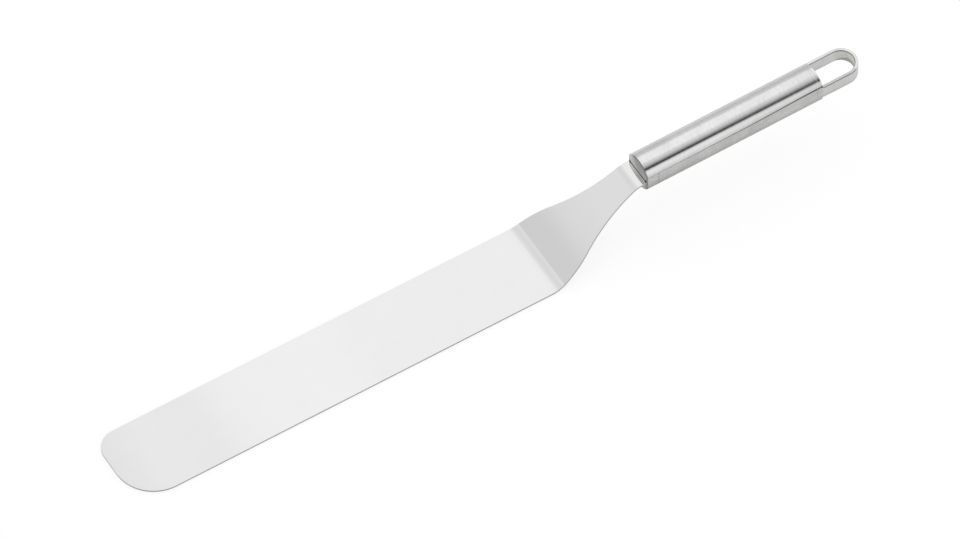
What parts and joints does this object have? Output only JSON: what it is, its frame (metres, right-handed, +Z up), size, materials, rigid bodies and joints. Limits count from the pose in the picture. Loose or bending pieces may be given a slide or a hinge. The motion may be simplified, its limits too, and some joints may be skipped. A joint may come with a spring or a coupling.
{
  "type": "offset spatula",
  "caption": "Long offset spatula in steel: a flat blade with rounded corners, a raised waisted neck, and a flat-sided tubular handle ending in a hanging loop.",
  "frame": {"origin": "under the middle of the spatula's length and width, on the surface that the flat blade lies on", "axes": "+X from the blade's tip to the hanging loop, +Y across the blade to the side with the small tip corner, +Z up from the surface that the blade lies on"},
  "size_m": [0.4, 0.0412, 0.0401],
  "materials": {
    "blade_steel": "fine polish, nearly even, soft reflections",
    "cap_steel": "satin, turned face",
    "handle_steel": "satin, brushed along the handle",
    "rear_cap_steel": "satin, turned face",
    "loop_steel": "satin, brushed along the strip"
  },
  "bodies": {
    "root": {"blade": "blade_steel", "front_cap": "cap_steel", "handle_barrel": "handle_steel", "rear_cap": "rear_cap_steel", "hanging_loop": "loop_steel"}
  },
  "joints": []
}
